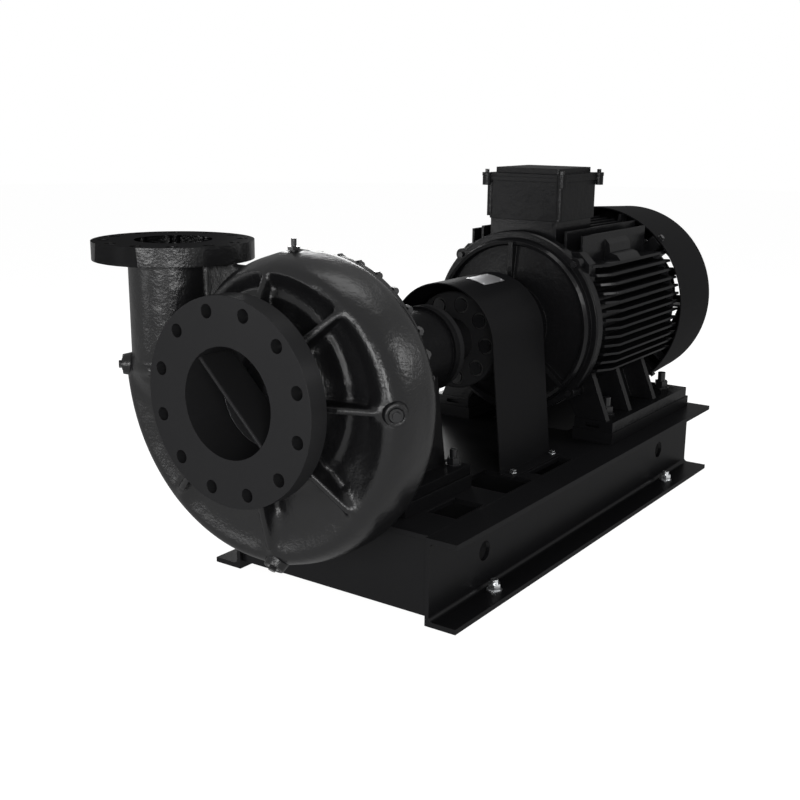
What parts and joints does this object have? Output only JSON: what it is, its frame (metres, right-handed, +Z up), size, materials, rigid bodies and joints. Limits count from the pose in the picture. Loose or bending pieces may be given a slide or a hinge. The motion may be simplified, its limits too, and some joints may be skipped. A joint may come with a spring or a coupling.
{
  "type": "centrifugal pump set",
  "caption": "Horizontal end-suction volute pump with splitter vane and open coupling guard, driven by a finned electric motor on a channel steel base",
  "frame": {"origin": "The centre of the suction flange's face, on the shaft axis.", "axes": "Y runs along the shaft from the suction face to the fan end of the motor. X points right for someone who looks into the suction nozzle, and Z points up."},
  "size_m": [0.7768, 1.698, 0.829],
  "materials": {
    "base_paint": "semi-gloss black paint over rolled steel",
    "cast_paint": "glossy black paint over rough cast iron",
    "motor_paint": "semi-gloss black paint over cast iron",
    "cowl_paint": "satin black paint over pressed steel sheet",
    "painted_steel": "fasteners under the same black paint",
    "zinc_steel": "bright zinc plate",
    "steel": "turned and ground steel",
    "bearing_steel": "ground and polished bearing steel",
    "plain_iron": "bare grey cast iron, machined where it fits",
    "seal_carbon": "lapped carbon",
    "gasket": "pressed fibre sheet",
    "rubber": "moulded black rubber",
    "lamination": "stacked electrical steel sheets",
    "winding": "varnished copper winding heads",
    "fan_plastic": "moulded black plastic",
    "board": "brown moulded board with terminal studs"
  },
  "bodies": {
    "base": {"side_channels": "base_paint", "cross_members": "base_paint", "deck_plate": "base_paint", "pump_pads": "base_paint", "motor_pads": "base_paint", "foundation_bolts": "zinc_steel", "volute_casing": "cast_paint", "casing_wear_ring": "plain_iron", "casing_gasket": "gasket", "back_cover": "cast_paint", "cover_studs": "painted_steel", "casing_plugs": "painted_steel", "air_vent": "painted_steel", "seal_seat": "seal_carbon", "gland_plate": "plain_iron", "gland_bolts": "zinc_steel", "bearing_frame": "cast_paint", "frame_bolts": "painted_steel", "front_bearing_cover": "cast_paint", "rear_bearing_cover": "cast_paint", "bearing_cover_bolts": "painted_steel", "pump_outer_races": "bearing_steel", "oil_plugs": "painted_steel", "pump_foot_bolts": "painted_steel", "coupling_guard": "base_paint", "guard_screws": "zinc_steel", "motor_frame": "motor_paint", "drive_end_shield": "motor_paint", "fan_end_shield": "motor_paint", "shield_bolts": "painted_steel", "motor_bearing_caps": "motor_paint", "stator_core": "lamination", "stator_windings": "winding", "motor_outer_races": "bearing_steel", "fan_cowl": "cowl_paint", "cowl_screws": "painted_steel", "terminal_box": "motor_paint", "terminal_lid": "motor_paint", "lid_screws": "painted_steel", "terminal_board": "board", "motor_foot_bolts": "painted_steel"},
    "motor_rotor": {"motor_shaft": "steel", "rotor_core": "lamination", "motor_inner_races": "bearing_steel", "cooling_fan": "fan_plastic", "motor_coupling_half": "cast_paint", "coupling_pin_set": "steel", "coupling_bushes": "rubber"},
    "pump_rotor": {"impeller": "plain_iron", "impeller_nut": "steel", "impeller_key": "steel", "pump_shaft": "steel", "shaft_sleeve": "steel", "seal_head": "steel", "pump_inner_races": "bearing_steel", "bearing_locknut": "steel", "pump_coupling_half": "cast_paint"},
    "motor_ball_cages": {"motor_ball_sets": "bearing_steel"},
    "pump_ball_cages": {"pump_ball_sets": "bearing_steel"}
  },
  "joints": [
    {"name": "motor_turn", "type": "hinge", "parent": "base", "child": "motor_rotor", "pos_m": [0, 1.2, 0], "axis": [0, 1, 0], "continuous": true},
    {"name": "pump_turn", "type": "hinge", "parent": "base", "child": "pump_rotor", "pos_m": [0, 0.5, 0], "axis": [0, 1, 0], "continuous": true},
    {"name": "motor_cage_turn", "type": "hinge", "parent": "base", "child": "motor_ball_cages", "pos_m": [0, 1.2, 0], "axis": [0, 1, 0], "continuous": true},
    {"name": "pump_cage_turn", "type": "hinge", "parent": "base", "child": "pump_ball_cages", "pos_m": [0, 0.5, 0], "axis": [0, 1, 0], "continuous": true}
  ],
  "couplings": [
    {"joint": "pump_turn", "follows": "motor_turn", "ratio": 1},
    {"joint": "motor_cage_turn", "follows": "motor_turn", "ratio": 0.4},
    {"joint": "pump_cage_turn", "follows": "motor_turn", "ratio": 0.4}
  ]
}
